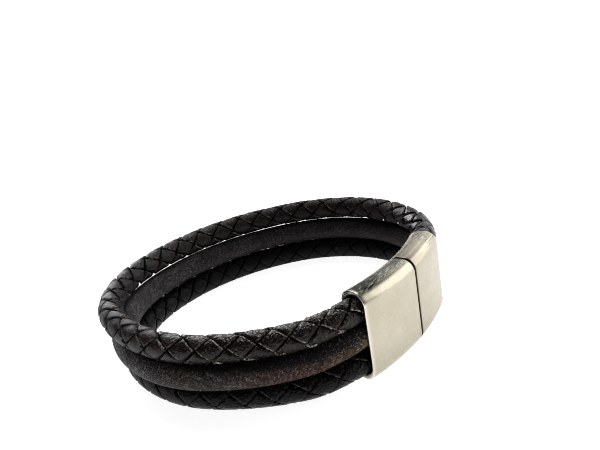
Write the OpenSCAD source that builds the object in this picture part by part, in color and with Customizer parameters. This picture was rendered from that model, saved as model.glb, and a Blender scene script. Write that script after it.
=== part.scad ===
// Three-strand leather bracelet with a curved two-part clasp, lying on its side.
// Origin under the middle of the whole bracelet, +Z up along the hole, the clasp towards +X.

/* [Strands] */
// Diameter of each of the three leather strands
strand_d = 5; // [4.6:0.1:5.6]
// Gap between strands that lie on each other
strand_gap = 0.15; // [0.1:0.05:0.3]
// Length of one braid cell along a strand
braid_cell = 5.3; // [4.8:0.1:6.4]
// Depth of the grooves between the braid's strips
braid_relief = 0.3; // [0.1:0.05:0.4]
// Stretch over which the strands come down from the clasp to the table
lead_len = 11; // [8:1:16]
// Thickness to which a strand is pressed inside the clasp
insert_t = 4.4; // [4:0.1:4.8]
// Stretch before the mouth over which it is pressed
press_len = 1.6; // [1:0.1:3]

/* [Clasp] */
// Length of the front half along the clasp's curve
front_half_len = 15.1; // [14:0.1:16]
// Length of the rear half
rear_half_len = 13.3; // [13:0.1:15]
// Stretch of the strands that follows the clasp's curve
curve_len = 29.7; // [29:0.1:31]
// Radius of the clasp's curve, at the middle of its thickness
clasp_r = 54; // [46:0.1:60]
// Wall above and below the strands
clasp_wall_z = 1; // [0.8:0.1:1.4]
// Wall on the outer and the inner face
clasp_wall_t = 0.65; // [0.5:0.05:1.2]
// Rounding of the clasp's long edges
clasp_round = 2.5; // [2:0.1:2.6]
// Depth of each pocket that holds the strand ends
pocket_depth = 9; // [7:0.5:10]
// Play between the strands and their pocket
pocket_play = 0.15; // [0.1:0.05:0.3]
// Gap between the two closed halves
split_gap = 0.3; // [0.2:0.05:0.5]

/* [Locating tongue] */
// Height of the tongue that keeps the two halves in line
tongue_h = 9; // [6:0.5:11]
// Thickness of the tongue
tongue_t = 2.4; // [1.6:0.1:3]
// How far the tongue reaches past its own half
tongue_len = 2.6; // [1.5:0.1:4]
// Play of the tongue in its recess
tongue_play = 0.2; // [0.1:0.05:0.3]

/* [Hidden] */

// Middle strand seen from above, clockwise from where it leaves the clasp's curve in front:
// [radius, sweep in degrees]. One more arc of last_arc_r brings it back onto the curve at the rear.
LOOP_ARCS = [
    [14.5, 17.5],
    [37.0, 38.5],
    [24.5, 22.0],
    [30.5, 82.5],
    [41.0, 53.0]
];
last_arc_r = 27;

// How far a strand lies outside the middle one, at equal steps round the loop: [upper, lower]
FAN = [
    [ 0.0,  0.0],
    [-0.4, -1.2],
    [-0.2, -1.6],
    [ 2.0, -1.2],
    [ 2.4, -1.2],
    [ 2.2, -1.0],
    [ 2.0, -0.6],
    [ 0.8,  0.2],
    [ 0.0,  0.0]
];
UPPER = 0;
LOWER = 1;

// Middle of the bracelet's outline, from the centre of the clasp's curve
outline_mid = [22.8, 0.6];

strand_sides = 12;
// Sides by which the braid is turned round its strand
braid_turn = 1;
braid_rings_per_cell = 4;
plain_ring_step = 1.5;
end_play = 0.3;
exact_fn = 96;

strand_r = strand_d / 2;
strand_pitch = strand_d + strand_gap;
pocket_h = 2 * strand_pitch + strand_d + 2 * pocket_play;
pocket_t = insert_t + 2 * pocket_play;
clasp_h = pocket_h + 2 * clasp_wall_z;
clasp_t = pocket_t + 2 * clasp_wall_t;
half_sweep = turn_for(curve_len / 2);

// Degrees of the clasp's curve that a length along it takes
function turn_for(len) = len / clasp_r * 180 / PI;

function clamp01(t) = max(0, min(1, t));
function ease(t) = let (u = clamp01(t)) u * u * (3 - 2 * u);

// A pose is [x, y, heading in degrees]. The next one lies at the end of a clockwise arc.
function arc_to(pose, radius, sweep) =
    let (after = pose[2] - sweep)
    [
        pose[0] + radius * (sin(pose[2]) - sin(after)),
        pose[1] - radius * (cos(pose[2]) - cos(after)),
        after
    ];

swept = [for (i = 0, sum = 0; i <= len(LOOP_ARCS);
              sum = sum + (i < len(LOOP_ARCS) ? LOOP_ARCS[i][1] : 0), i = i + 1) sum];
arcs = concat(LOOP_ARCS, [[last_arc_r, 360 - 2 * half_sweep - swept[len(LOOP_ARCS)]]]);

loop_start = [clasp_r * cos(half_sweep), -clasp_r * sin(half_sweep), -90 - half_sweep];
loop_end = [clasp_r * cos(half_sweep), clasp_r * sin(half_sweep)];

function arc_len(i) = arcs[i][0] * arcs[i][1] * PI / 180;
arc_starts = [for (i = 0, pose = loop_start; i <= len(arcs);
                   pose = i < len(arcs) ? arc_to(pose, arcs[i][0], arcs[i][1]) : pose, i = i + 1) pose];
arc_from = [for (i = 0, at = 0; i <= len(arcs); at = at + (i < len(arcs) ? arc_len(i) : 0), i = i + 1) at];
loop_len = arc_from[len(arcs)];

// What is left over where the arcs end is shared out along the loop, so that it closes
loop_miss = [
    loop_end[0] - arc_starts[len(arcs)][0],
    loop_end[1] - arc_starts[len(arcs)][1]
];

// Distances along the middle strand, from the start of the loop: the mouths and the strand's ends
front_mouth_s = front_half_len - curve_len / 2;
rear_mouth_s = loop_len + curve_len / 2 - rear_half_len;
first_s = front_mouth_s - pocket_depth + end_play;
last_s = rear_mouth_s + pocket_depth - end_play;

function arc_at(s) = max([for (i = [0 : len(arcs) - 1]) if (arc_from[i] <= s || i == 0) i]);

function loop_pose(s) =
    let (
        i = arc_at(s),
        sweep = (s - arc_from[i]) / arcs[i][0] * 180 / PI,
        pose = arc_to(arc_starts[i], arcs[i][0], sweep)
    )
    [
        pose[0] + loop_miss[0] * s / loop_len,
        pose[1] + loop_miss[1] * s / loop_len,
        pose[2]
    ];

// The clasp's own curve, at an angle from its middle
function clasp_pose(angle) = [clasp_r * cos(angle), clasp_r * sin(angle), angle - 90];

// Middle strand at a distance s along the loop; below 0 and past loop_len it is on the clasp's curve
function path_pose(s) =
    s < 0 ? clasp_pose(-half_sweep - turn_for(s))
    : s > loop_len ? clasp_pose(half_sweep - turn_for(s - loop_len))
    : loop_pose(s);

// A smooth curve through the rows of FAN
function fan_row(i) = FAN[max(0, min(len(FAN) - 1, i))];
function fan(s, column) =
    let (
        u = clamp01(s / loop_len) * (len(FAN) - 1),
        i = min(floor(u), len(FAN) - 2),
        t = u - i,
        before = fan_row(i - 1)[column],
        from = fan_row(i)[column],
        to = fan_row(i + 1)[column],
        beyond = fan_row(i + 2)[column]
    )
    from + t / 2 * (to - before
        + t * (2 * before - 5 * from + 4 * to - beyond
            + t * (3 * (from - to) + beyond - before)));

// Each strand leans on the one below it, so a sideways step lowers it a little
function rise(step) = sqrt(strand_pitch * strand_pitch - step * step);

function lower_z(s) =
    let (in_clasp = clasp_h / 2 - strand_pitch, out = ease(min(s, loop_len - s) / lead_len))
    in_clasp + (strand_r - in_clasp) * out;
function middle_z(s) = lower_z(s) + rise(fan(s, LOWER));
function upper_z(s) = middle_z(s) + rise(fan(s, UPPER));

function strand_z(s, level) = level < 0 ? lower_z(s) : level > 0 ? upper_z(s) : middle_z(s);
function strand_out(s, level) = level < 0 ? fan(s, LOWER) : level > 0 ? fan(s, UPPER) : 0;

// Share of its thickness that a strand keeps where the clasp presses it
function press(s) =
    let (free = ease(min(s - front_mouth_s, rear_mouth_s - s) / press_len), pressed = insert_t / strand_d)
    pressed + (1 - pressed) * free;

// A point of a strand's skin: level is -1, 0 or 1, from the table up
function skin_point(s, level, angle, radius) =
    let (
        pose = path_pose(s),
        out = strand_out(s, level) + radius * press(s) * cos(angle)
    )
    [
        pose[0] - out * sin(pose[2]) - outline_mid[0],
        pose[1] + out * cos(pose[2]) - outline_mid[1],
        strand_z(s, level) + radius * sin(angle)
    ];

// Height of the braid at a place of its grid, 1 on the middle of a strip and 0 in a groove
function braid_crown(side, ring) = sqrt(abs(cos(90 * side) + cos(90 * ring)) / 2);

function skin_radius(side, ring, relief) = strand_r - relief * (1 - braid_crown(side, ring));

// The two triangles of one patch of skin share the diagonal that the braid's groove runs along
function patch(a, b, c, d, along) = along ? [[a, c, b], [a, d, c]] : [[a, d, b], [b, d, c]];

module strand(level, ring_step, relief) {
    path_len = last_s - first_s;
    rings = ceil(path_len / ring_step);
    step = path_len / rings;
    n = strand_sides;
    points = [
        for (ring = [0 : rings], side = [0 : n - 1])
            skin_point(first_s + ring * step, level, side * 360 / n,
                skin_radius(side + braid_turn, ring, relief))
    ];
    skin = [
        for (ring = [0 : rings - 1], side = [0 : n - 1])
            let (
                next = (side + 1) % n,
                a = ring * n + side,
                b = ring * n + next,
                c = (ring + 1) * n + next,
                d = (ring + 1) * n + side
            )
            each patch(a, b, c, d, (ring + side + braid_turn) % 2 == 0)
    ];
    first = [[for (side = [0 : n - 1]) side]];
    last = [[for (side = [n - 1 : -1 : 0]) rings * n + side]];
    polyhedron(points = points, faces = concat(skin, first, last), convexity = 6);
}

module round_bar(width, height, radius) {
    square([width - 2 * radius, height], center = true);
    square([width, height - 2 * radius], center = true);
    for (x = [-1, 1], y = [-1, 1])
        translate([x * (width / 2 - radius), y * (height / 2 - radius)])
            circle(r = radius, $fn = exact_fn);
}

// Sweeps a flat shape along the clasp's curve, between two angles from its middle
module along_clasp(from, to) {
    translate([-outline_mid[0], -outline_mid[1], clasp_h / 2])
        rotate([0, 0, from])
            rotate_extrude(angle = to - from, $fn = exact_fn)
                translate([clasp_r, 0])
                    children();
}

module clasp_half(half_len) {
    difference() {
        along_clasp(turn_for(split_gap / 2), turn_for(half_len))
            round_bar(clasp_t, clasp_h, clasp_round);
        along_clasp(turn_for(half_len - pocket_depth), turn_for(half_len + 1))
            round_bar(pocket_t, pocket_h, pocket_t / 2 - 0.05);
    }
}

module tongue(from, to, play) {
    along_clasp(turn_for(from), turn_for(to))
        square([tongue_t + 2 * play, tongue_h + 2 * play], center = true);
}

module clasp_front_half() {
    color([0.84, 0.81, 0.72]) {
        translate([0, -2 * outline_mid[1], 0])
            mirror([0, 1, 0])
                clasp_half(front_half_len);
        tongue(-split_gap, tongue_len, 0);
    }
}

module clasp_rear_half() {
    color([0.84, 0.81, 0.72])
        difference() {
            clasp_half(rear_half_len);
            tongue(-split_gap, tongue_len + tongue_play, tongue_play);
        }
}

module braided_strand_upper() {
    color([0.13, 0.11, 0.1])
        strand(1, braid_cell / braid_rings_per_cell, braid_relief);
}

module plain_strand_middle() {
    color([0.24, 0.17, 0.13])
        strand(0, plain_ring_step, 0);
}

module braided_strand_lower() {
    color([0.13, 0.11, 0.1])
        strand(-1, braid_cell / braid_rings_per_cell, braid_relief);
}

clasp_front_half();
clasp_rear_half();
braided_strand_upper();
plain_strand_middle();
braided_strand_lower();
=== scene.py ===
"""Leather bracelet on its side: two braided strands and a plain one in a curved metal clasp."""

import math

import bmesh
import bpy
import numpy as np
from mathutils import Matrix, Vector


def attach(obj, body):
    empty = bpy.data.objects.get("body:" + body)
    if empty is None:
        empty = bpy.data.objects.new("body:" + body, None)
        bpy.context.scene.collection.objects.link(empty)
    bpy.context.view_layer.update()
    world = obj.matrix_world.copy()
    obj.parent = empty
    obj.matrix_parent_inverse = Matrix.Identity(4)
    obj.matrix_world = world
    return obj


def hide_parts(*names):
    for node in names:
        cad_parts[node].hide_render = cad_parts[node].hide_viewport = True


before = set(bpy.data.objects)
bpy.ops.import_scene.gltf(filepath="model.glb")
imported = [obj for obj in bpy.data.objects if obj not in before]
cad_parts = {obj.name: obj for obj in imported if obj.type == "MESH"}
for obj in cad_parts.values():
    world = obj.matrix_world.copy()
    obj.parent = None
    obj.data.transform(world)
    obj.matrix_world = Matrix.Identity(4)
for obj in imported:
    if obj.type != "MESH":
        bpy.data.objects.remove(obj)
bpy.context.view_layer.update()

# All sizes below are in millimetres unless a comment says otherwise, and are scaled on their way in.
MM = 0.001
SEED = 20
UP = np.array([0.0, 0.0, 1.0])
# points closer than this are welded
WELD = 0.001

# Strands
STRAND_D = 5.0
STRAND_R = STRAND_D / 2
STRAND_PITCH = STRAND_D + 0.15
# the distance from the clasp's curve over which they come down to the floor
LEAD_LEN = 11.0
# how thick they are in the pockets, and how soon they are round again in front and behind
INSERT_T = 4.4
PRESS_LEN = 1.6
REAR_PRESS_LEN = 6.0
# how far they turn inward behind the rear mouth, how soon, and how soon that fades away again
REAR_TUCK = 0.6
REAR_TUCK_LEN = 3.5
REAR_TUCK_FADE = 14.0
# how far their skin stands outside their solids
SKIN_SWELL = 0.06

# Clasp
FRONT_HALF_LEN = 15.1
REAR_HALF_LEN = 13.3
CURVE_LEN = 29.7
CLASP_R = 54.0
CLASP_H = 17.6
CLASP_T = 6.0
CLASP_ROUND = 2.5
POCKET_H = 15.6
POCKET_T = 4.7
POCKET_ROUND = POCKET_T / 2 - 0.05
POCKET_DEPTH = 9.0
END_PLAY = 0.3
SPLIT_GAP = 0.3
TONGUE_H = 9.0
TONGUE_T = 2.4
TONGUE_LEN = 2.6
TONGUE_PLAY = 0.2
# rounding of the shell's edges at the mouth and at the split
RIM_ROUND = 0.22
SPLIT_ROUND = 0.24
# how deep the mouth's bevel is, and how far it widens the pocket outward and upward
MOUTH_BEVEL = 0.35
MOUTH_GROW = 0.33
MOUTH_GROW_UP = 0.66
# the bevel from its rim inward: (share of its depth, share of its width, how dark its painted shade is)
MOUTH_STEPS = (
    (0.0, 1.0, 0.6),
    (1 / 3, 0.3, 0.95),
    (1.0, 0.0, 1.0),
)
# how dark the painted shade on the shell's first rings is, from the face at the split round its edge
SPLIT_SHADES = (1.0, 1.0, 0.95, 0.8, 0.1)
CORNER_STEPS = 10
SIDE_STEPS = 10
# straight sides longer than this are divided
LONG_SIDE = 2.0
EDGE_RINGS = 5
SHELL_RINGS = 24
POCKET_RINGS = 8
TONGUE_RINGS = 6

# Wear and painted light on the clasp. A fade is where a mark starts to show and where it is full: from the
# mouth for the rim, along from the split for the scratches and the painted dark reflection, up the rounded
# top (from 0 to 1) for the patina's height, and outward from the middle of the clasp's thickness for the
# rest.
RIM_FADE = (-0.3, -0.15)
# painted highlight: paler metal on the mouth's rim
RIM_HIGHLIGHT_FADE = (-1.0, -0.4)
# patina along the rounded top, most of it a painted dark reflection
PATINA_AND_REFLECTION_HEIGHT_FADE = (0.3, 0.6)
PATINA_AND_REFLECTION_OUTER_FADE = (2.3, 0.6)
PATINA_AND_REFLECTION_INNER_FADE = (-1.3, -0.8)
PATINA_AND_REFLECTION_INNER_LEAST = 0.25
# painted shade on the inner side of the mouth's rim
RIM_PAINTED_SHADE = 0.6
RIM_PAINTED_SHADE_FADE = (-0.6, -1.1)
# painted dark reflection, stronger towards the front mouth and on the inner side
DARK_REFLECTION_FADE = (5.5, 10.5)
FLAT_DARK_REFLECTION = 0.3
FLAT_DARK_REFLECTION_FADE = (0.9, 0.3)
# painted shade by the split, and faintly over the whole rear half
SPLIT_PAINTED_SHADE_LEN = 5.0
REAR_PAINTED_SHADE = 0.15
SCRATCH_FADE = (7.5, 9.0)
# the scratches' middle on the way up the rounded top, and how far from it they are full and gone
SCRATCH_MIDDLE = 2.1
SCRATCH_BAND = (0.525, 0.875)
# how much the scratches climb for each millimetre along, and how far apart they are
SCRATCH_CLIMB = 0.12
SCRATCH_SPACING = 0.55
# the scratches' attribute goes from 0 to 1 over this distance
SCRATCH_SPAN = 10.0
# how much patina, most of it painted dark reflection, a half has, and how much painted shade by the split
# and scratches
FRONT_WEAR_AND_PAINTED_LIGHT = (1.0, 0.0)
REAR_WEAR_AND_PAINTED_LIGHT = (0.25, 1.0)

# The loop of the middle strand, clockwise from where it leaves the clasp's curve in front:
# (radius, sweep in degrees)
LOOP_ARCS = (
    (14.5, 17.5),
    (37.0, 38.5),
    (24.5, 22.0),
    (30.5, 82.5),
    (41.0, 53.0),
)
LAST_ARC_R = 27.0

# How far a strand lies outside the middle one, at equal steps round the loop
FAN_UPPER = (0.0, -0.4, -0.2, 2.0, 2.4, 2.2, 2.0, 0.8, 0.0)
FAN_LOWER = (0.0, -1.2, -1.6, -1.2, -1.2, -1.0, -0.6, 0.2, 0.0)

# Middle of the bracelet's outline, from the centre of the clasp's curve
OUTLINE_MID = np.array([22.8, 0.6])

# Braid: strips of leather that cross at each cell
BRAID_CELL = 5.3
STRIPS_EACH_WAY = 3
# Places on a braid are counted in strips: u counts those that climb one way and v those that climb the
# other way. A cell's middle has both even, and a strip goes over and under once in four counts.
COUNTS_PER_WAVE = 4
DEGREES_PER_COUNT = 180 / (2 * STRIPS_EACH_WAY)
# how far past the strand's start a strip starts, before its slip, and how much shorter it is, in counts
STRIP_START = 3.2
STRIP_SHORTER = 3.0
# a strip crosses a cell in two counts
STRIP_STEPS_PER_CELL = 14
# how far a strip dips under the next and how flat its cells are: (distance along, swing, flatness)
STRIP_SHAPE = (
    (0, 0.50, 2.0),
    (20, 0.50, 2.2),
    (34, 0.45, 4.0),
    (44, 0.52, 3.6),
    (60, 0.62, 3.0),
    (80, 0.60, 3.2),
    (95, 0.45, 4.0),
    (148, 0.43, 4.5),
    (160, 0.55, 1.9),
    (176, 0.60, 1.6),
)
# the lower strand's crossings are shallower
LOWER_SWING = 0.45
STRIP_THICK = 0.8
STRIP_CROWN = 0.06
# half a strip's section, from its middle out: (place across, depth in thicknesses, how much is cut edge)
STRIP_HALF_SECTION = (
    (0.15, 0.0, 0.0),
    (0.45, 0.0, 0.0),
    (0.78, 0.0, 0.0),
    (0.90, -0.03, 0.55),
    (0.975, 0.05, 1.0),
    (1.0, 0.20, 1.0),
    (1.0, 0.70, 1.0),
)
# half a strip's width in counts, and how it varies, as a share and in cells from one value to the next
STRIP_HALF_WIDTH = 0.915
WIDTH_SPREAD = 0.035
WIDTH_CELLS = 0.8
# how a strip strays from its lane, in counts, and how ragged its cut edges are
DRIFT_SPREAD = 0.04
DRIFT_CELLS = 1.7
RAGGED_SPREAD = 0.014
# burrs on the cut edges, and how far they may stand out of the skin
BURR_SPREAD = 0.04
BURR_MOST = 0.06
# how unevenly the cells lie: higher or lower, tipped across, and tipped along
CELL_SPREADS = (0.035, 0.03, 0.035)
# how soon a strip's tone varies, in cells
TONE_CELLS = 0.9
# how much of the raw edge shows on the strips that climb the other way, whose edges lie in the shade:
# painted shade, as less of their light raw colour shows
SHADED_EDGE = 0.35
CORE_R = 1.35
CORE_SIDES = 10
CORE_RINGS = 160

# How the braid's cells turn round a strand and slip along it: (distance along it, degrees, mm)
UPPER_LAY = (
    (0, 48, -2.4),
    (14, 38, -2.4),
    (25, 26, -2.4),
    (36, 24, -2.4),
    (56, -30, -2.5),
    (75, -24, -2.7),
    (175, 30, -2.2),
)
LOWER_LAY = (
    (0, 72, -1.7),
    (10, 72, -1.6),
    (18, 42, -0.8),
    (45, 36, -0.7),
    (175, 38, -0.7),
)

# Plain strand: its skin swells and shrinks, and has creases across it
PLAIN_SIDES = 64
PLAIN_RINGS = 820
SWELL = 0.022
SWELL_RINGS = 26
CREASES = 90
CREASE_HALF_WIDTH = 0.16
CREASE_DEPTH = (0.03, 0.09)
# how far round the strand a crease reaches, in radians, and how far it slants, in mm for each radian
CREASE_REACH = (0.35, 0.9)
CREASE_SLANT = 0.5
# light strokes, painted highlights of small folds, each from one place to another: (distance along, degrees
# round it)
STROKES = (
    ((27.4, 42), (25.0, 14)),
    ((24.9, -8), (22.3, -20)),
    ((29.8, 30), (28.4, 22)),
    ((21.0, 12), (19.6, -2)),
)
STROKE_HALF_WIDTH = 0.14

# Loose fibres at the braid's cut edges
UPPER_FIBRES = 300
LOWER_FIBRES = 200
FIBRE_SIDES = 3
FIBRE_RINGS = 7
FIBRE_LENGTH = (0.3, 1.1)
FIBRE_THICK = (0.03, 0.055)
# a fibre starts this deep in the strand, leans over, curls to a side, and droops at its tip
FIBRE_ROOT = 0.32
FIBRE_LEAN = (0.3, 1.1)
FIBRE_CURL = 1.6
FIBRE_DROOP = 0.35
# its thickness goes down to this share at its tip
FIBRE_TIP = 0.05
# fibres stay clear of the clasp and the floor
FIBRE_MARGIN = 0.5
FIBRE_FLOOR = 0.05

HALF_SWEEP = CURVE_LEN / 2 / CLASP_R


def ease(t):
    """A smooth step from 0 to 1 as t goes from 0 to 1."""
    u = np.clip(t, 0.0, 1.0)
    return u * u * (3 - 2 * u)


def fade(value, start, full):
    """A smooth step from 0 to 1 as a value goes from start to full."""
    return ease((value - start) / (full - start))


def arc_to(x, y, heading, radius, sweep):
    """The place and heading at the end of a clockwise arc."""
    after = heading - sweep
    return (
        x + radius * (np.sin(heading) - np.sin(after)),
        y - radius * (np.cos(heading) - np.cos(after)),
        after,
    )


def loop_arcs():
    """Each arc of the loop as (start along the loop, x, y, heading, radius), the loop's length, and how
    far its end lies from the clasp."""
    arcs = [(r, math.radians(a)) for r, a in LOOP_ARCS]
    arcs.append((LAST_ARC_R, 2 * math.pi - 2 * HALF_SWEEP - sum(a for _, a in arcs)))
    x, y = CLASP_R * math.cos(HALF_SWEEP), -CLASP_R * math.sin(HALF_SWEEP)
    heading = -math.pi / 2 - HALF_SWEEP
    at = 0.0
    found = []
    for radius, sweep in arcs:
        found.append((at, x, y, heading, radius))
        x, y, heading = arc_to(x, y, heading, radius, sweep)
        at += radius * sweep
    miss = np.array([CLASP_R * math.cos(HALF_SWEEP) - x, CLASP_R * math.sin(HALF_SWEEP) - y])
    return found, at, miss


ARCS, LOOP_LEN, LOOP_MISS = loop_arcs()

# Distances along the middle strand, from the start of the loop: the mouths and the strand's ends
FRONT_MOUTH_S = FRONT_HALF_LEN - CURVE_LEN / 2
REAR_MOUTH_S = LOOP_LEN + CURVE_LEN / 2 - REAR_HALF_LEN
FIRST_S = FRONT_MOUTH_S - POCKET_DEPTH + END_PLAY
LAST_S = REAR_MOUTH_S + POCKET_DEPTH - END_PLAY
# cells of the braid along a whole strand
CELLS = (LAST_S - FIRST_S) / BRAID_CELL


def path_pose(s):
    """Middle strand seen from above, at distances s along the loop: places and outward directions."""
    s = np.asarray(s, float)
    place = np.zeros(s.shape + (2,))
    heading = np.zeros(s.shape)
    for at, x, y, start, radius in ARCS:
        here = s >= at
        ax, ay, ah = arc_to(x, y, start, radius, (s - at) / radius)
        place[here] = np.stack([ax, ay], -1)[here] + (s[here] / LOOP_LEN)[..., None] * LOOP_MISS
        heading[here] = ah[here]
    before = s < 0
    after = s > LOOP_LEN
    angle = np.where(before, -HALF_SWEEP - s / CLASP_R, HALF_SWEEP - (s - LOOP_LEN) / CLASP_R)
    pocket = before | after
    place[pocket] = (CLASP_R * np.stack([np.cos(angle), np.sin(angle)], -1))[pocket]
    heading[pocket] = (angle - math.pi / 2)[pocket]
    outward = np.stack([-np.sin(heading), np.cos(heading)], -1)
    return place - OUTLINE_MID, outward


def fan(s, column):
    """A smooth curve through a column of the fan."""
    rows = np.array([column[0], *column, column[-1]])
    steps = len(column) - 1
    u = np.clip(np.asarray(s) / LOOP_LEN, 0, 1) * steps
    i = np.minimum(u.astype(int), steps - 1)
    t = u - i
    a, b, c, d = rows[i], rows[i + 1], rows[i + 2], rows[i + 3]
    return b + t / 2 * (c - a + t * (2 * a - 5 * b + 4 * c - d + t * (3 * (b - c) + d - a)))


def strand_centre(s, level):
    """Centre line of a strand and its outward direction; level is -1, 0 or 1, from the floor up."""
    s = np.asarray(s, float)
    place, outward = path_pose(s)
    in_clasp = CLASP_H / 2 - STRAND_PITCH
    down = ease(np.minimum(s, LOOP_LEN - s) / LEAD_LEN)
    lower = fan(s, FAN_LOWER)
    upper = fan(s, FAN_UPPER)
    z = in_clasp + (STRAND_R - in_clasp) * down
    sideways = lower
    if level >= 0:
        z = z + np.sqrt(STRAND_PITCH**2 - lower**2)
        sideways = np.zeros(s.shape)
    if level > 0:
        z = z + np.sqrt(STRAND_PITCH**2 - upper**2)
        sideways = upper
    # just behind the rear mouth the strands turn inward a little sooner than the loop does
    behind = REAR_MOUTH_S - s
    tuck = ease(behind / REAR_TUCK_LEN) * (1 - ease((behind - REAR_TUCK_LEN) / REAR_TUCK_FADE))
    sideways = sideways - REAR_TUCK * tuck
    centre = np.concatenate([place + outward * sideways[..., None], z[..., None]], -1)
    out3 = np.concatenate([outward, np.zeros(s.shape + (1,))], -1)
    return centre, out3


def on_strand(s, level, angle, radius):
    """Points at an angle and a radius round a strand; angle 0 is outward and a quarter turn is up."""
    centre, out3 = strand_centre(s, level)
    free = ease(np.minimum((s - FRONT_MOUTH_S) / PRESS_LEN, (REAR_MOUTH_S - s) / REAR_PRESS_LEN))
    press = INSERT_T / STRAND_D + (1 - INSERT_T / STRAND_D) * free
    across = (press * np.cos(angle))[..., None] * out3
    return centre + radius[..., None] * (across + np.sin(angle)[..., None] * UP)


def strand_grid(rings, sides):
    """Distances along a strand and angles round it, as a grid of rings."""
    s = np.linspace(FIRST_S, LAST_S, rings)[:, None] + np.zeros(sides)
    angle = np.linspace(0, 2 * math.pi, sides, endpoint=False)[None, :] + np.zeros((rings, 1))
    return s, angle


def signed_turn(angle):
    """The same angle between minus and plus half a turn."""
    return (angle + math.pi) % (2 * math.pi) - math.pi


# Meshes


def tube_faces(rings, sides):
    """Quads over a tube of points that is stored ring by ring."""
    ring = np.arange(rings - 1)[:, None] * sides
    side = np.arange(sides)[None, :]
    after = (side + 1) % sides
    quads = np.stack([ring + side, ring + after, ring + sides + after, ring + sides + side], -1)
    return quads.reshape(-1, 4)


def end_faces(rings, sides):
    """The two faces that close a tube's ends."""
    return [list(range(sides)), [(rings - 1) * sides + c for c in range(sides)]]


def set_attributes(mesh, attributes):
    """Gives a mesh its named values, one for each point."""
    for key, values in attributes.items():
        mesh.attributes.new(key, "FLOAT", "POINT").data.foreach_set("value", values.astype(np.float32))


def build_mesh(name, points, quads, polygons=(), attributes=None, smooth=True):
    """A mesh object from points in millimetres, quads as an array, and a few other polygons."""
    faces = [tuple(q) for q in quads.tolist()] + [tuple(p) for p in polygons]
    mesh = bpy.data.meshes.new(name)
    mesh.from_pydata((points * MM).tolist(), [], faces)
    mesh.validate()
    set_attributes(mesh, attributes or {})
    mesh.polygons.foreach_set("use_smooth", np.full(len(mesh.polygons), smooth))
    mesh.update()
    piece = bpy.data.objects.new(name, mesh)
    bpy.context.scene.collection.objects.link(piece)
    return piece


def clean(piece):
    """Welds the seams between a piece's patches and turns its faces outward."""
    work = bmesh.new()
    work.from_mesh(piece.data)
    bmesh.ops.remove_doubles(work, verts=work.verts, dist=WELD * MM)
    bmesh.ops.recalc_face_normals(work, faces=work.faces)
    work.to_mesh(piece.data)
    work.free()


def finish_piece(piece, material, slot, *nodes):
    """Gives a piece its material and its body, and hides the nodes it stands for; its slot is not used."""
    piece.data.materials.append(material)
    if nodes:
        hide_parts(*nodes)
    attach(piece, "root")


class Patchwork:
    """Collects grids of points into one mesh."""

    def __init__(self):
        self.points = []
        self.quads = []
        self.polygons = []
        self.attributes = {}
        self.count = 0

    def add(self, points, quads, polygons=(), **attributes):
        """Adds a grid of points with its faces, and the values of its named attributes."""
        points = points.reshape(-1, 3)
        self.points.append(points)
        self.quads.append(quads + self.count)
        self.polygons += [[i + self.count for i in p] for p in polygons]
        for key, values in attributes.items():
            self.attributes.setdefault(key, []).append(np.broadcast_to(values, len(points)))
        self.count += len(points)

    def add_face(self, ring, **attributes):
        """Adds one face over a ring of points."""
        self.add(ring, np.zeros((0, 4), int), [list(range(len(ring)))], **attributes)

    def build(self, name):
        """The mesh object of all that was added."""
        points = np.concatenate(self.points)
        quads = np.concatenate(self.quads)
        attributes = {key: np.concatenate(values) for key, values in self.attributes.items()}
        return build_mesh(name, points, quads, self.polygons, attributes)


# Braided strands


def smooth_noise(rng, count, width):
    """A row of smooth random values between about -1 and 1, that change over width entries."""
    knots = rng.uniform(-1, 1, int(count / width) + 4)
    u = np.arange(count) / width
    i = u.astype(int)
    t = ease(u - i)
    return knots[i] * (1 - t) + knots[i + 1] * t


def strip_section():
    """Places across a strip, how deep each lies under its crown, and how much of it is cut edge."""
    right = np.array(STRIP_HALF_SECTION)
    left = right[::-1] * (-1, 1, 1)
    across, corner, cut = np.concatenate([left, right]).T
    return across, STRIP_CROWN * across**2 + corner * STRIP_THICK, cut


def lattice_place(u, v, lay):
    """Distance along a strand and angle round it, of a place given by its counts of strips each way."""
    at, turns, slips = np.array(lay, float).T
    s = (u - v) * BRAID_CELL / COUNTS_PER_WAVE + FIRST_S
    turn = np.interp(s, at, turns)
    s = s + np.interp(s, at, slips)
    return s, np.radians(DEGREES_PER_COUNT * (u + v) + turn)


def cell_noise(rng, steps, cells):
    """Smooth random values along a strip, that change over so many cells."""
    return smooth_noise(rng, steps, STRIP_STEPS_PER_CELL * cells)


def strip_edges(rng, steps, across, cut):
    """How far a strip's points lie from its lane, in counts, and how high their burrs stand."""
    width = STRIP_HALF_WIDTH * (1 + WIDTH_SPREAD * cell_noise(rng, steps, WIDTH_CELLS))
    drift = DRIFT_SPREAD * cell_noise(rng, steps, DRIFT_CELLS)
    ragged = rng.normal(0, RAGGED_SPREAD, (steps, len(across))) * cut
    # the burrs are highest where a point is half cut edge
    burr = np.abs(rng.normal(0, BURR_SPREAD, (steps, len(across)))) * cut * (1 - cut) * 4
    return across * width[:, None] + drift[:, None] + ragged, burr


def cell_heights(rng, phase, across):
    """How much higher or lower a strip's points lie, because each cell lies a little unevenly."""
    cell = np.round(phase / COUNTS_PER_WAVE).astype(int)
    cell -= cell.min()
    lift, tip, slope = rng.normal(0, CELL_SPREADS, (cell.max() + 1, 3))[cell].T
    slope = slope * np.sin(2 * math.pi * phase / COUNTS_PER_WAVE)
    return lift[:, None] + tip[:, None] * across + slope[:, None]


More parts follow.
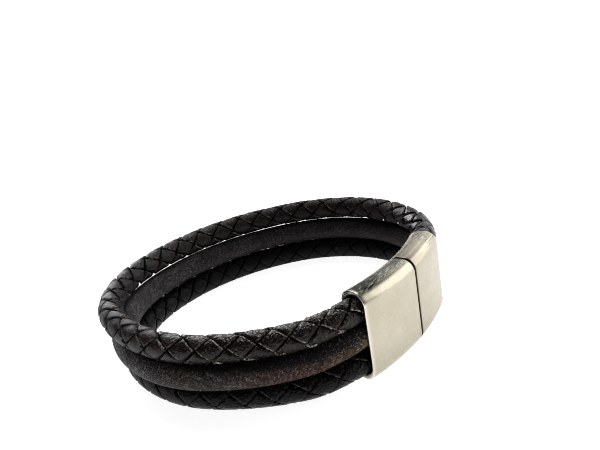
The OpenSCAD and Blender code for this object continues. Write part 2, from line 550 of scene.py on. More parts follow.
def braid_strip(rng, level, lay, way, index):
    """One strip: way 1 climbs round the strand as it goes, and way -1 the other way."""
    across, depth, cut = strip_section()
    lane = 2.0 * index
    first = lane * way + STRIP_START
    last = first + COUNTS_PER_WAVE * CELLS - STRIP_SHORTER
    steps = int((last - first) / 2 * STRIP_STEPS_PER_CELL)
    along = np.linspace(first, last, steps)
    offset, burr = strip_edges(rng, steps, across, cut)
    if way > 0:
        u = along[:, None] + 0 * offset
        v = lane + offset
        phase = lane + along
    else:
        u = lane + offset
        v = -along[:, None] + 0 * offset
        phase = lane - along
    over = way * np.cos(2 * math.pi * phase / COUNTS_PER_WAVE)
    s, angle = lattice_place(u, v, lay)
    at, swings, flatnesses = np.array(STRIP_SHAPE).T
    middle = s.mean(axis=1)
    swing = np.interp(middle, at, swings) * (1.0 if level > 0 else LOWER_SWING)
    flatness = np.interp(middle, at, flatnesses)
    wave = np.tanh(flatness * over) / np.tanh(flatness)
    top = STRAND_R + SKIN_SWELL - swing + swing * wave
    uneven = np.clip(over, 0, 1)[:, None] * cell_heights(rng, phase, across)
    # the lower strand stays on the floor, and no burr stands out of a strand's underside
    skin = STRAND_R + (SKIN_SWELL if level > 0 else 0.0)
    limit = skin + BURR_MOST * np.clip(np.sin(angle) + 0.5, 0, 1)
    radius = np.minimum(top[:, None] - depth + burr + uneven, limit)
    tone = cell_noise(rng, steps, TONE_CELLS)
    attributes = {
        "over": over[:, None] + 0 * radius,
        # less raw colour on the strips that climb the other way, as painted shade
        "edge": (1.0 if way > 0 else SHADED_EDGE) * cut + 0 * radius,
        "tone": tone[:, None] + 0 * radius,
        "along": s / LOOP_LEN,
        "upward": np.sin(angle),
    }
    return on_strand(s, level, angle, radius), {key: values.ravel() for key, values in attributes.items()}


def braided_strand(name, level, lay, seed):
    """A round braid of strips over a core."""
    rng = np.random.default_rng(seed)
    work = Patchwork()
    for way in (1, -1):
        for index in range(STRIPS_EACH_WAY):
            points, attributes = braid_strip(rng, level, lay, way, index)
            rings, sides = points.shape[:2]
            quads = tube_faces(rings, sides)
            if way < 0:
                quads = quads[:, ::-1]
            work.add(points, quads, end_faces(rings, sides), **attributes)
    s, angle = strand_grid(CORE_RINGS, CORE_SIDES)
    core = on_strand(s, level, angle, np.full(s.shape, CORE_R))
    quads = tube_faces(CORE_RINGS, CORE_SIDES)
    caps = end_faces(CORE_RINGS, CORE_SIDES)
    work.add(core, quads, caps, over=-1.0, edge=0.0, tone=0.0, along=0.5, upward=0.0)
    piece = work.build(name)
    clean(piece)
    return piece


# Plain strand


def stroke_marks(s, angle):
    """How much of a light stroke, a painted highlight of a small fold, lies at each place, from 0 to 1."""
    place = np.stack([s, STRAND_R * angle], -1)
    marks = np.zeros(s.shape)
    for start, end in STROKES:
        a = np.array([start[0], STRAND_R * math.radians(start[1])])
        b = np.array([end[0], STRAND_R * math.radians(end[1])])
        t = np.clip(((place - a) @ (b - a)) / ((b - a) @ (b - a)), 0, 1)
        away = np.linalg.norm(place - a - t[..., None] * (b - a), axis=-1)
        marks = np.maximum(marks, np.exp(-((away / STROKE_HALF_WIDTH) ** 2)))
    return marks


def plain_strand(name, seed):
    """A round strand with a slightly uneven skin and fine creases across it."""
    rng = np.random.default_rng(seed)
    s, angle = strand_grid(PLAIN_RINGS, PLAIN_SIDES)
    swell = SWELL * smooth_noise(rng, PLAIN_RINGS, SWELL_RINGS)[:, None]
    radius = STRAND_R + SKIN_SWELL + swell + np.zeros(s.shape)
    for _ in range(CREASES):
        at = rng.uniform(FIRST_S, LAST_S)
        middle = rng.uniform(0, 2 * math.pi)
        reach = rng.uniform(*CREASE_REACH)
        slant = rng.uniform(-CREASE_SLANT, CREASE_SLANT)
        depth = rng.uniform(*CREASE_DEPTH)
        turn = signed_turn(angle - middle)
        away = s - at - slant * turn
        radius -= depth * np.exp(-((away / CREASE_HALF_WIDTH) ** 2)) * np.exp(-((turn / reach) ** 2))
    points = on_strand(s, 0, angle, radius).reshape(-1, 3)
    quads = tube_faces(PLAIN_RINGS, PLAIN_SIDES)
    attributes = {
        "along": (s / LOOP_LEN).ravel(),
        "upward": np.sin(angle).ravel(),
        "stroke": stroke_marks(s, signed_turn(angle)).ravel(),
    }
    return build_mesh(name, points, quads, end_faces(PLAIN_RINGS, PLAIN_SIDES), attributes)


# Loose fibres at the braid's cut edges


def cut_edge_place(rng, lay):
    """Distance along a strand and angle round it, of a random place on a strip's cut edge."""
    # a cut edge is where one of the two counts is odd; some of these places lie past the strand's ends
    spare = 2 * STRIPS_EACH_WAY
    u = rng.uniform(0, 2 * CELLS + 2 * spare)
    v = 2 * rng.integers(-int(CELLS), spare) + 1.0
    if rng.random() < 0.5:
        u, v = -v, -u
    return lattice_place(u, v, lay)


def fibre_rings(rng, level, s, angle):
    """A fibre's centre line, and the rings of points round it."""
    centre, out3 = strand_centre(np.array([s]), level)
    normal = math.cos(angle) * out3[0] + math.sin(angle) * UP
    side = np.cross(normal, rng.normal(size=3))
    side /= np.linalg.norm(side)
    across = np.cross(normal, side)
    length = rng.uniform(*FIBRE_LENGTH)
    curl = rng.uniform(-FIBRE_CURL, FIBRE_CURL)
    thick = rng.uniform(*FIBRE_THICK)
    lean = rng.uniform(*FIBRE_LEAN)
    t = np.linspace(0, 1, FIBRE_RINGS)
    rise = length * t * (1 - FIBRE_DROOP * t)
    sideways = length * (lean * t + curl * t * t / 2)
    root = centre[0] + normal * (STRAND_R - FIBRE_ROOT)
    line = root + normal * rise[:, None] + side * sideways[:, None]
    turns = np.linspace(0, 2 * math.pi, FIBRE_SIDES, endpoint=False)[:, None]
    section = np.cos(turns) * across + np.sin(turns) * normal
    taper = thick * (1 + FIBRE_TIP - t)
    return line, line[:, None] + taper[:, None, None] * section


def fibres(name, level, lay, seed, count):
    """Thin curled hairs that stand on the strips' cut edges."""
    rng = np.random.default_rng(seed)
    work = Patchwork()
    quads = tube_faces(FIBRE_RINGS, FIBRE_SIDES)
    caps = end_faces(FIBRE_RINGS, FIBRE_SIDES)
    while work.count < count * FIBRE_SIDES * FIBRE_RINGS:
        s, angle = cut_edge_place(rng, lay)
        if not FIBRE_MARGIN < s < LOOP_LEN - FIBRE_MARGIN:
            continue
        line, points = fibre_rings(rng, level, s, angle)
        if line[:, 2].min() < FIBRE_FLOOR:
            continue
        work.add(points, quads, caps, tone=rng.uniform(0, 1))
    return work.build(name)


# Clasp


def round_section(width, height, radius):
    """A closed rounded rectangle as points (outward, up), anticlockwise from the lower right corner."""
    points = []
    for right, top, start in ((1, -1, -90), (1, 1, 0), (-1, 1, 90), (-1, -1, 180)):
        for k in range(CORNER_STEPS + 1):
            a = math.radians(start + 90 * k / CORNER_STEPS)
            outward = right * (width / 2 - radius) + radius * math.cos(a)
            up = top * (height / 2 - radius) + radius * math.sin(a)
            points.append(np.array([outward, up]))
    divided = []
    for p, q in zip(points, points[1:] + points[:1]):
        divided.append(p)
        if np.linalg.norm(q - p) > LONG_SIDE:
            divided += [p + (q - p) * k / SIDE_STEPS for k in range(1, SIDE_STEPS)]
    return np.array(divided)


def on_clasp(x, section):
    """A section of the clasp set upright at a distance from the clasp's middle."""
    r = CLASP_R + section[:, 0]
    angle = x / CLASP_R
    right = r * math.cos(angle) - OUTLINE_MID[0]
    back = r * math.sin(angle) - OUTLINE_MID[1]
    return np.stack([right, back, section[:, 1] + CLASP_H / 2], -1)


def outer_section(inset):
    """The shell's section, drawn in by an inset."""
    return round_section(CLASP_T - 2 * inset, CLASP_H - 2 * inset, CLASP_ROUND - inset)


def pocket_section(flare=0.0):
    """The pocket's section; flare is 1 where it is widest, at the mouth's rim."""
    grow = MOUTH_GROW * flare
    grow_up = MOUTH_GROW_UP * flare
    return round_section(POCKET_T + 2 * grow, POCKET_H + 2 * grow_up, POCKET_ROUND + grow)


def shell_rings(start, end):
    """Rings of a half's shell from the split to the mouth, with a rounded edge at both."""
    turns = np.linspace(0, math.pi / 2, EDGE_RINGS)
    middle = np.linspace(start + SPLIT_ROUND, end - RIM_ROUND, SHELL_RINGS)[1:-1]
    places = [(start + SPLIT_ROUND * (1 - math.cos(a)), SPLIT_ROUND * (1 - math.sin(a))) for a in turns]
    places += [(x, 0.0) for x in middle]
    places += [(end - RIM_ROUND * (1 - math.cos(a)), RIM_ROUND * (1 - math.sin(a))) for a in turns[::-1]]
    return [on_clasp(x, outer_section(inset)) for x, inset in places]


def stitched(work, rings, recess):
    """Adds a tube of rings to a patchwork, with a painted shade for each ring, darkest where it is hidden.
    """
    points = np.stack(rings)
    quads = tube_faces(len(rings), points.shape[1])
    shade_by_ring = np.broadcast_to(recess, len(rings))[:, None] + np.zeros(points.shape[:2])
    work.add(points, quads, recess=shade_by_ring.ravel())


def mark_wear_and_painted_light(piece, end, patina_and_reflection_much, shade_and_scratch_much):
    """Marks a clasp half's wear and painted light: patina on its top, most of it a painted dark reflection,
    painted shade by the split, scratches, and a painted highlight on the rim at its mouth.
    """
    points = np.zeros(len(piece.data.vertices) * 3, np.float32)
    piece.data.vertices.foreach_get("co", points)
    x, y, z = points.reshape(-1, 3).T / MM
    x = x + OUTLINE_MID[0]
    y = y + OUTLINE_MID[1]
    from_split = np.abs(CLASP_R * np.arctan2(y, x))
    outward = np.hypot(x, y) - CLASP_R
    top = np.clip((z - (CLASP_H - CLASP_ROUND)) / CLASP_ROUND, 0, 1)
    # distance up the rounded top
    girth = CLASP_ROUND * np.arcsin(top)
    near_split = np.exp(-((from_split / SPLIT_PAINTED_SHADE_LEN) ** 2))
    rim = fade(from_split - end, *RIM_FADE)
    # painted highlight: paler metal on the mouth's rim, where the patina gives way
    painted_rim_highlight = rim * fade(outward, *RIM_HIGHLIGHT_FADE)
    # the patina, most of it a painted dark reflection, thins out at the inner edge
    inner_edge = PATINA_AND_REFLECTION_INNER_LEAST + (1 - PATINA_AND_REFLECTION_INNER_LEAST) * fade(outward, *PATINA_AND_REFLECTION_INNER_FADE)
    patina_and_dark_reflection = fade(top, *PATINA_AND_REFLECTION_HEIGHT_FADE) * fade(outward, *PATINA_AND_REFLECTION_OUTER_FADE) * inner_edge
    # painted shade on the inner side of the rim
    rim_painted_shade = RIM_PAINTED_SHADE * rim * fade(outward, *RIM_PAINTED_SHADE_FADE)
    corner = np.interp(np.abs(girth - SCRATCH_MIDDLE), SCRATCH_BAND, (1, 0))
    # more painted dark reflection on the inner side
    flat_dark_reflection = FLAT_DARK_REFLECTION * fade(outward, *FLAT_DARK_REFLECTION_FADE)
    marks = {
        "patina_and_dark_reflection": patina_and_reflection_much * np.maximum(patina_and_dark_reflection * (1 - painted_rim_highlight), rim_painted_shade),
        "painted_rim_highlight": painted_rim_highlight,
        # painted shade over the top by the split, and faintly over the whole half
        "painted_split_shade": shade_and_scratch_much * np.maximum(REAR_PAINTED_SHADE, top * near_split),
        "scratched": shade_and_scratch_much * corner * fade(from_split, *SCRATCH_FADE),
        "scratch_phase": (girth + SCRATCH_CLIMB * from_split) / SCRATCH_SPAN,
        "painted_dark_reflection": np.maximum(fade(from_split, *DARK_REFLECTION_FADE), flat_dark_reflection),
    }
    set_attributes(piece.data, marks)


def mirror(piece):
    """Mirrors a clasp half to the other side of the split."""
    flip = Matrix.Scale(-1, 4, Vector((0, 1, 0)))
    shift = Matrix.Translation(Vector((0, -2 * OUTLINE_MID[1] * MM, 0)))
    piece.data.transform(shift @ flip)
    piece.data.flip_normals()


def clasp_half(name, end, wear_and_painted_light, is_front):
    """One half: its outer shell, the rim round its mouth, its pocket, and its face at the split."""
    work = Patchwork()
    start = SPLIT_GAP / 2
    shell = shell_rings(start, end)
    # painted shade on the shell's first rings by the split
    shaded = np.zeros(len(shell))
    shaded[: len(SPLIT_SHADES)] = SPLIT_SHADES
    stitched(work, shell, shaded)
    # the mouth's bevel, in painted shade that deepens inward
    bevel = [on_clasp(end - MOUTH_BEVEL * deep, pocket_section(flare)) for deep, flare, _ in MOUTH_STEPS]
    stitched(work, [shell[-1], *bevel], (0.0, *(dark for _, _, dark in MOUTH_STEPS)))
    # the pocket, all in painted shade
    places = np.linspace(end - MOUTH_BEVEL, end - POCKET_DEPTH, POCKET_RINGS)
    pocket = [on_clasp(x, pocket_section()) for x in places]
    stitched(work, pocket, 1.0)
    work.add_face(pocket[-1], recess=1.0)
    # the face at the split goes over into the tongue of one half and the hollow for it in the other, all in
    # painted shade
    face = outer_section(SPLIT_ROUND)
    play = 0.0 if is_front else TONGUE_PLAY
    reach = -TONGUE_LEN if is_front else TONGUE_LEN + TONGUE_PLAY
    half = np.array([TONGUE_T, TONGUE_H]) / 2 + play
    box = np.clip(face, -half, half)
    tongue = [on_clasp(x, box) for x in np.linspace(start, reach, TONGUE_RINGS)]
    stitched(work, [on_clasp(start, face), *tongue], 1.0)
    work.add_face(tongue[-1], recess=1.0)
    piece = work.build(name)
    mark_wear_and_painted_light(piece, end, *wear_and_painted_light)
    if is_front:
        mirror(piece)
    clean(piece)
    return piece


# Materials


class Nodes:
    """Short names for making and linking the nodes of one material."""

    def __init__(self, name):
        self.material = bpy.data.materials.new(name)
        self.material.use_nodes = True
        self.tree = self.material.node_tree
        self.shader = self.tree.nodes["Principled BSDF"]

    def node(self, kind, **settings):
        """A new node of a kind."""
        made = self.tree.nodes.new(kind)
        for key, value in settings.items():
            setattr(made, key, value)
        return made

    def link(self, output, socket):
        """Links an output to a socket."""
        self.tree.links.new(output, socket)

    def put(self, socket, value):
        """Sets a socket to a number or colour, or links an output to it."""
        if isinstance(value, bpy.types.NodeSocket):
            self.link(value, socket)
        elif isinstance(value, tuple):
            socket.default_value = (*value, 1)
        else:
            socket.default_value = value

    def position(self, scale=(1, 1, 1)):
        """Object coordinates in millimetres, stretched by scale."""
        coordinates = self.node("ShaderNodeTexCoord")
        mapping = self.node("ShaderNodeMapping")
        mapping.inputs["Scale"].default_value = [k / MM for k in scale]
        self.link(coordinates.outputs["Object"], mapping.inputs["Vector"])
        return mapping.outputs["Vector"]

    def attribute(self, name):
        """One of the mesh's named values."""
        return self.node("ShaderNodeAttribute", attribute_name=name).outputs["Fac"]

    def noise(self, vector, size, detail, roughness=0.55):
        """Noise with features of about size millimetres."""
        made = self.node("ShaderNodeTexNoise")
        self.link(vector, made.inputs["Vector"])
        made.inputs["Scale"].default_value = 1 / size
        made.inputs["Detail"].default_value = detail
        made.inputs["Roughness"].default_value = roughness
        return made.outputs["Fac"]

    def cells(self, vector, size):
        """Cells of about size millimetres, as the distance from their middles."""
        made = self.node("ShaderNodeTexVoronoi")
        self.link(vector, made.inputs["Vector"])
        made.inputs["Scale"].default_value = 1 / size
        return made.outputs["Distance"]

    def ramp(self, value, *stops):
        """A colour ramp through stops of (place, colour or grey)."""
        made = self.node("ShaderNodeValToRGB")
        elements = made.color_ramp.elements
        while len(elements) < len(stops):
            elements.new(0.5)
        for element, (place, colour) in zip(elements, stops):
            element.position = place
            grey = isinstance(colour, (int, float))
            element.color = (colour, colour, colour, 1) if grey else (*colour, 1)
        self.link(value, made.inputs["Fac"])
        return made.outputs["Color"]

    def math(self, operation, *values, clamp=False):
        """The result of an operation on outputs and numbers."""
        made = self.node("ShaderNodeMath", operation=operation, use_clamp=clamp)
        for socket, value in zip(made.inputs, values):
            self.put(socket, value)
        return made.outputs["Value"]

    def product(self, first, *others):
        """All the values multiplied together."""
        for value in others:
            first = self.math("MULTIPLY", first, value)
        return first

    def mix(self, factor, a, b, blend="MIX"):
        """Goes from a to b by a factor."""
        made = self.node("ShaderNodeMix", data_type="RGBA", blend_type=blend)
        self.put(made.inputs["Factor"], factor)
        self.put(made.inputs["A"], a)
        self.put(made.inputs["B"], b)
        return made.outputs["Result"]

    def bump(self, height, strength, distance, normal=None):
        """Bump of a height between 0 and 1 that stands for distance millimetres."""
        made = self.node("ShaderNodeBump")
        self.put(made.inputs["Strength"], strength)
        made.inputs["Distance"].default_value = distance * MM
        self.link(height, made.inputs["Height"])
        if normal is not None:
            self.link(normal, made.inputs["Normal"])
        return made.outputs["Normal"]

    def finish(self, **inputs):
        """Sets the shader's own sockets, and gives the material."""
        for key, value in inputs.items():
            self.put(self.shader.inputs[key.replace("_", " ")], value)
        return self.material


def braided_leather(name, dark, brown, wear_and_glint_much, raw_much, shine):
    """Near-black leather with a coarse shiny grain, light specks of wear with painted sheen and glints, raw
    cut edges, and painted shade in its crossings.
    """
    n = Nodes(name)
    place = n.position()
    over = n.attribute("over")
    along = n.attribute("along")
    patches = n.noise(place, 4.0, detail=3)
    grain = n.cells(place, 0.5)
    pores = n.noise(place, 0.45, detail=3, roughness=0.7)
    specks = n.noise(place, 0.29, detail=2, roughness=0.8)
    tears = n.noise(place, 0.7, detail=3, roughness=0.75)
    shade = n.math("MULTIPLY_ADD", n.attribute("tone"), 0.35, 1.0)
    base = n.ramp(patches, (0.35, dark), (0.65, brown))
    base = n.mix(1.0, base, n.ramp(shade, (0.6, 0.6), (1.0, 1.0)), "MULTIPLY")
    # light specks of wear, with painted sheen and glints on the upper side: strongest near the clasp and on
    # the upper side, and least on the far left
    wear_and_painted_light = n.product(
        n.ramp(along, (0.0, 1.0), (0.12, 0.75), (0.22, 0.3), (0.32, 0.1), (0.75, 0.7), (0.92, 0.15)),
        n.ramp(over, (0.25, 0.0), (0.9, wear_and_glint_much)),
        n.ramp(n.attribute("upward"), (0.1, 0.08), (0.7, 0.2), (0.93, 1.0)),
    )
    wear_and_sheen_specks = n.product(n.ramp(specks, (0.52, 0.0), (0.64, 0.6)), wear_and_painted_light)
    base = n.mix(wear_and_sheen_specks, base, n.ramp(patches, (0.45, (0.40, 0.365, 0.355)), (0.62, (0.28, 0.18, 0.13))))
    # painted glints: pale specks among the worn ones
    painted_glints = n.product(n.ramp(specks, (0.62, 0.0), (0.66, 1.0)), wear_and_painted_light)
    base = n.mix(painted_glints, base, (0.85, 0.82, 0.84))
    # raw leather shows where the cut edges are torn
    torn = n.product(
        n.ramp(n.attribute("edge"), (0.15, 0.0), (1.0, 1.0)),
        n.ramp(tears, (0.40, 0.0), (0.52, raw_much)),
        n.ramp(along, (0.16, 1.0), (0.26, 0.4)),
    )
    raw = n.ramp(pores, (0.38, (0.06, 0.036, 0.03)), (0.48, (0.32, 0.23, 0.18)), (0.56, (0.88, 0.82, 0.74)))
    base = n.mix(torn, base, raw)
    # towards the rear mouth the leather is greyer
    base = n.mix(n.ramp(along, (0.86, 0.0), (0.93, 0.5)), base, (0.045, 0.040, 0.040))
    # painted shade in the crossings, where a strip goes under the next, widest on the far left and behind
    # the rear mouth
    crossing_shade = n.ramp(along, (0.17, 0.0), (0.25, 0.62), (0.45, 0.62), (0.55, 0.2), (0.86, 0.2), (0.93, 0.5))
    shown = n.math("SUBTRACT", over, crossing_shade)
    base = n.mix(1.0, base, n.ramp(shown, (0.0, 0.04), (0.4, 1.0)), "MULTIPLY")
    # the grain is coarse and shiny near the clasp, and finer and duller further round
    coarse = n.ramp(along, (0.0, 1.0), (0.15, 0.7), (0.22, 0.3), (0.3, 0.2), (1.0, 0.3))
    matt = n.ramp(along, (0.14, 0.0), (0.25, 0.5), (0.5, 0.5), (0.7, 0.8), (0.84, 0.8), (0.9, 0.0))
    rough = n.mix(matt, n.ramp(pores, (0.3, 0.12), (0.7, 0.30)), (0.75, 0.75, 0.75))
    normal = n.bump(pores, coarse, 0.14, n.bump(grain, coarse, 0.17))
    return n.finish(Base_Color=base, Roughness=rough, Normal=normal, Specular_IOR_Level=shine)


def plain_leather():
    """Rough, rubbed leather: near black with grey, reddish and tan wear in specks, painted shade over its
    upper half near the clasp, and light strokes that are painted highlights of small folds.
    """
    n = Nodes("plain_leather")
    place = n.position()
    along = n.attribute("along")
    patches = n.noise(place, 4.5, detail=4, roughness=0.6)
    specks = n.noise(place, 0.42, detail=3, roughness=0.75)
    fine = n.noise(place, 0.27, detail=2, roughness=0.8)
    # the rubbed colour by the distance from the front mouth: tan, reddish, tan again, then grey
    rubbed = n.ramp(
        along,
        (0.0, (0.46, 0.33, 0.18)),
        (0.02, (0.34, 0.20, 0.11)),
        (0.05, (0.24, 0.105, 0.075)),
        (0.115, (0.17, 0.085, 0.066)),
        (0.14, (0.12, 0.097, 0.09)),
        (0.165, (0.13, 0.114, 0.110)),
        (0.187, (0.19, 0.13, 0.085)),
        (0.21, (0.20, 0.19, 0.197)),
        (0.38, (0.20, 0.19, 0.195)),
        (1.0, (0.08, 0.05, 0.035)),
    )
    # painted shade: the upper half lies under the next strand and stays near black, and takes the rubbed
    # colour only far from the clasp
    height = n.math("SUBTRACT", n.attribute("upward"), n.product(along, 4.0))
    outside_painted_shade = n.ramp(height, (0.0, 1.0), (0.22, 0.05))
    base = n.mix(n.product(n.ramp(patches, (0.4, 0.015), (0.65, 0.07)), outside_painted_shade), (0.003, 0.003, 0.003), rubbed)
    much = n.ramp(
        along, (0.0, 0.95), (0.03, 0.7), (0.12, 0.6), (0.15, 0.5), (0.22, 0.85), (0.5, 0.35), (1.0, 0.2)
    )
    flecks = n.ramp(specks, (0.50, 0.0), (0.60, 1.0))
    base = n.mix(n.product(flecks, much, n.ramp(patches, (0.35, 0.2), (0.6, 1.0)), outside_painted_shade), base, rubbed)
    # bright specks, which near the clasp show on the upper half too, grey there in the painted shade
    bright = n.product(n.ramp(fine, (0.60, 0.0), (0.64, 1.0)), much)
    bright = n.product(bright, n.math("MAXIMUM", n.ramp(along, (0.01, 0.85), (0.08, 0.3)), outside_painted_shade))
    speck = n.mix(outside_painted_shade, (0.36, 0.35, 0.36), n.mix(0.45, rubbed, (0.46, 0.40, 0.37)))
    base = n.mix(bright, base, speck)
    # painted highlights of small folds, as light strokes
    stroke = n.product(n.attribute("stroke"), n.ramp(fine, (0.48, 0.0), (0.58, 1.0)))
    base = n.mix(stroke, base, (0.27, 0.245, 0.23))
    normal = n.bump(fine, 0.6, 0.12, n.bump(specks, 0.9, 0.22))
    return n.finish(Base_Color=base, Roughness=0.62, Normal=normal, Specular_IOR_Level=0.15)


def fibre_leather():
    """Raw leather hairs, each of its own brown."""
    n = Nodes("raw_fibres")
    colour = n.ramp(n.attribute("tone"), (0.0, (0.05, 0.035, 0.025)), (1.0, (0.30, 0.20, 0.13)))
    return n.finish(Base_Color=colour, Roughness=0.8)


def clasp_metal():
    """Satin metal with a warm tint and faint stains, painted shade inside and at the split, a patina on top
    that is mostly a painted dark reflection, and a painted highlight on the mouth's rim.
    """
    n = Nodes("clasp_metal")
    place = n.position()
    brushed = n.noise(n.position((1, 1, 0.08)), 0.4, detail=3, roughness=0.6)
    streaks = n.noise(n.position((1, 0.15, 1)), 0.24, detail=2, roughness=0.6)
    stains = n.noise(place, 5.0, detail=4, roughness=0.6)
    tint = n.ramp(stains, (0.32, (0.455, 0.418, 0.32)), (0.68, (0.505, 0.468, 0.375)))
    # dark patina along the rounded top, most of it a painted dark reflection, broken up by short streaks and
    # darkest where more painted dark reflection lies, towards the front mouth and on the inner side
    painted_dark_reflection = n.attribute("painted_dark_reflection")
    patina_and_dark_reflection = n.attribute("patina_and_dark_reflection")
    uneven = n.math("MULTIPLY_ADD", streaks, 3.6, -2.02)
    level = n.math("ADD", n.math("ADD", patina_and_dark_reflection, n.product(painted_dark_reflection, 0.4)), uneven)
    tarnish_and_dark_reflection = n.product(n.ramp(level, (0.30, 0.0), (0.95, 1.0)), n.math("MULTIPLY", patina_and_dark_reflection, 3.0, clamp=True))
    tint = n.mix(tarnish_and_dark_reflection, tint, n.mix(painted_dark_reflection, (0.13, 0.14, 0.12), (0.016, 0.020, 0.017)))
    # a few scratches along the rear half's upper corner
    wander = n.noise(place, 2.0, detail=1)
    lines = n.math("MULTIPLY_ADD", n.attribute("scratch_phase"), SCRATCH_SPAN / SCRATCH_SPACING, wander)
    thin = n.ramp(n.math("FRACT", lines), (0.0, 0.0), (0.12, 1.0), (0.2, 1.0), (0.32, 0.0))
    tint = n.mix(n.product(thin, n.attribute("scratched")), tint, (0.04, 0.037, 0.03))
    # painted shade, brownish, by the split and faintly over the rear half
    tint = n.mix(n.product(n.attribute("painted_split_shade"), 0.8), tint, (0.22, 0.175, 0.14))
    # painted highlight: paler metal on the mouth's rim
    tint = n.mix(n.attribute("painted_rim_highlight"), tint, (0.70, 0.66, 0.58))
    # painted shade: near black in the pockets, on the faces at the split and on the tongue
    tint = n.mix(n.attribute("recess"), tint, (0.025, 0.020, 0.016))
    rough = n.ramp(n.noise(place, 2.2, detail=3), (0.35, 0.25), (0.65, 0.32))
    return n.finish(Base_Color=tint, Metallic=1.0, Roughness=rough, Normal=n.bump(brushed, 0.05, 0.02))


def floor_paper():
    """Pale paper that glows a little, so that it is as pale as the backdrop."""
    n = Nodes("floor_paper")
    colour = n.ramp(n.noise(n.position(), 3.0, detail=2), (0.0, 0.61), (1.0, 0.63))
    return n.finish(
        Base_Color=colour,
        Roughness=0.9,
        Specular_IOR_Level=0.1,
        Emission_Color=(1.0, 1.0, 1.0),
        Emission_Strength=0.92,
    )


# The object

upper_leather = braided_leather(
    "upper_leather",
    dark=(0.005, 0.003, 0.003),
    brown=(0.014, 0.0075, 0.006),
    wear_and_glint_much=1.0,
    raw_much=0.85,
    shine=0.20,
)
# the same leather for the lower strand, in a darker, duller copy as painted shade, with fewer light specks
# and raw edges showing
shaded_lower_leather = braided_leather(
    "shaded_lower_leather",
    dark=(0.002, 0.002, 0.0025),
    brown=(0.0045, 0.0038, 0.0038),
    wear_and_glint_much=0.12,
    raw_much=0.13,
    shine=0.11,
)
metal = clasp_metal()
upper_braid = braided_strand("upper_braid", 1, UPPER_LAY, SEED + 1)
lower_braid = braided_strand("lower_braid", -1, LOWER_LAY, SEED + 2)
finish_piece(upper_braid, upper_leather, "braided_leather", "braided_strand_upper")
finish_piece(lower_braid, shaded_lower_leather, "braided_leather", "braided_strand_lower")
middle_strand = plain_strand("middle_strand", SEED + 3)
finish_piece(middle_strand, plain_leather(), "plain_leather", "plain_strand_middle")
front_clasp = clasp_half("front_clasp", FRONT_HALF_LEN, FRONT_WEAR_AND_PAINTED_LIGHT, is_front=True)
finish_piece(front_clasp, metal, "clasp_metal", "clasp_front_half")
rear_clasp = clasp_half("rear_clasp", REAR_HALF_LEN, REAR_WEAR_AND_PAINTED_LIGHT, is_front=False)
finish_piece(rear_clasp, metal, "clasp_metal", "clasp_rear_half")
raw = fibre_leather()
upper_fibres = fibres("upper_fibres", 1, UPPER_LAY, SEED + 4, UPPER_FIBRES)
finish_piece(upper_fibres, raw, "braided_leather")
lower_fibres = fibres("lower_fibres", -1, LOWER_LAY, SEED + 5, LOWER_FIBRES)
finish_piece(lower_fibres, raw, "braided_leather")


# Stage

FLOOR_HALF = 60000.0
# Brightness of the surroundings by the height of the direction looked in: (height from -1 to 1, strength)
WORLD_HEIGHTS = (
    (-1.0, 1.05),
    (0.0, 1.05),
    (0.04, 0.07),
    (1.0, 0.07),
)
BACKDROP_STRENGTH = WORLD_HEIGHTS[0][1]
# Wide soft lights: (name, direction it comes from, width in degrees, strength)
SUNS = (
    ("key_light", (0.585, 0.75, 0.31), 54, 1.4),
    ("back_light", (-0.02, 0.92, 0.39), 38, 0.40),
    ("rim_light", (-0.45, 0.72, 0.56), 32, 0.22),
    ("top_light", (-0.30, 0.32, 0.90), 20, 1.45),
    ("left_light", (-0.85, 0.45, 0.26), 36, 1.75),
)
# The camera stands back from a point that it looks at, turned a little about its own axis as in the photo
CAMERA_AIM = (-5.3, 18.9, 13.8)
CAMERA_BACK = 168.7
CAMERA_AZIMUTH = 37.1
CAMERA_ELEVATION = 20.0
CAMERA_ROLL = -9.9
CAMERA_LENS = 42.3
SENSOR_WIDTH = 36.0
# the nearest and the farthest that it sees, in metres
CAMERA_CLIP = (0.005, 200.0)
# how wide a pixel's filter is, in pixels: narrow, for a fine grain
PIXEL_FILTER = 1.0


def floor():
    """A wide pale floor."""
    corners = np.array([[-1, -1, 0], [1, -1, 0], [1, 1, 0], [-1, 1, 0]]) * FLOOR_HALF
    piece = build_mesh("floor", corners, np.array([[0, 1, 2, 3]]), smooth=False)
    piece.data.materials.append(floor_paper())


def studio_world():
    """A white backdrop that lights the scene brightly up to the horizon and dimly from above."""
    made = bpy.data.worlds.new("studio")
    made.use_nodes = True
    tree = made.node_tree
    direction = tree.nodes.new("ShaderNodeTexCoord").outputs["Generated"]
    split = tree.nodes.new("ShaderNodeSeparateXYZ")
    tree.links.new(direction, split.inputs["Vector"])
    seen = tree.nodes.new("ShaderNodeLightPath").outputs["Is Camera Ray"]
    strength = tree.nodes.new("ShaderNodeMix")
    tree.links.new(seen, strength.inputs["Factor"])
    tree.links.new(world_curve(tree, split.outputs["Z"], WORLD_HEIGHTS), strength.inputs["A"])
    strength.inputs["B"].default_value = BACKDROP_STRENGTH
    background = tree.nodes["Background"]
    background.inputs["Color"].default_value = (1, 1, 1, 1)
    tree.links.new(strength.outputs["Result"], background.inputs["Strength"])
    bpy.context.scene.world = made


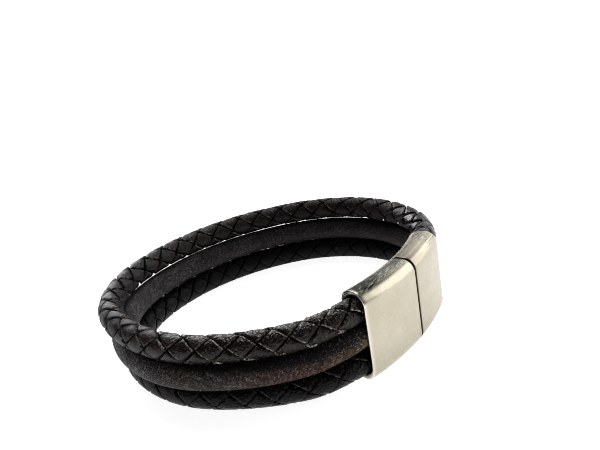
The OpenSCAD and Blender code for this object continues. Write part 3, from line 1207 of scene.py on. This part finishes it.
def world_curve(tree, height, stops):
    """A piecewise linear curve through (height between -1 and 1, strength) pairs."""
    # the curve's own inputs and values lie between 0 and 1
    spread = tree.nodes.new("ShaderNodeMapRange")
    spread.inputs["From Min"].default_value = -1.0
    tree.links.new(height, spread.inputs["Value"])
    shape = tree.nodes.new("ShaderNodeFloatCurve")
    tree.links.new(spread.outputs["Result"], shape.inputs["Value"])
    shape.mapping.use_clip = False
    curve = shape.mapping.curves[0]
    while len(curve.points) < len(stops):
        curve.points.new(0.5, 0.5)
    top = max(strength for _, strength in stops)
    for point, (at, strength) in zip(curve.points, stops):
        point.location = ((at + 1) / 2, strength / top)
        point.handle_type = "VECTOR"
    shape.mapping.update()
    scale = tree.nodes.new("ShaderNodeMath")
    scale.operation = "MULTIPLY"
    tree.links.new(shape.outputs["Value"], scale.inputs[0])
    scale.inputs[1].default_value = top
    return scale.outputs["Value"]


def sun(name, towards, width, strength):
    """A wide soft light from a direction; its width is an angle in degrees."""
    light = bpy.data.lights.new(name, "SUN")
    light.angle = math.radians(width)
    light.energy = strength
    lamp = bpy.data.objects.new(name, light)
    lamp.rotation_euler = Vector(towards).to_track_quat("Z", "Y").to_euler()
    bpy.context.scene.collection.objects.link(lamp)


def camera():
    """The camera, at the photo's angle."""
    azimuth = math.radians(CAMERA_AZIMUTH)
    elevation = math.radians(CAMERA_ELEVATION)
    right = math.sin(azimuth) * math.cos(elevation)
    away = -math.cos(azimuth) * math.cos(elevation)
    back = Vector((right, away, math.sin(elevation)))
    data = bpy.data.cameras.new("camera")
    data.lens = CAMERA_LENS
    data.sensor_width = SENSOR_WIDTH
    data.clip_start, data.clip_end = CAMERA_CLIP
    made = bpy.data.objects.new("camera", data)
    place = Matrix.Translation((Vector(CAMERA_AIM) + back * CAMERA_BACK) * MM)
    turn = (-back).to_track_quat("-Z", "Y").to_matrix().to_4x4()
    roll = Matrix.Rotation(math.radians(CAMERA_ROLL), 4, "Z")
    made.matrix_world = place @ turn @ roll
    bpy.context.scene.collection.objects.link(made)
    bpy.context.scene.camera = made


floor()
camera()
studio_world()
for light in SUNS:
    sun(*light)
bpy.context.scene.view_settings.view_transform = "Standard"
bpy.context.scene.cycles.filter_width = PIXEL_FILTER
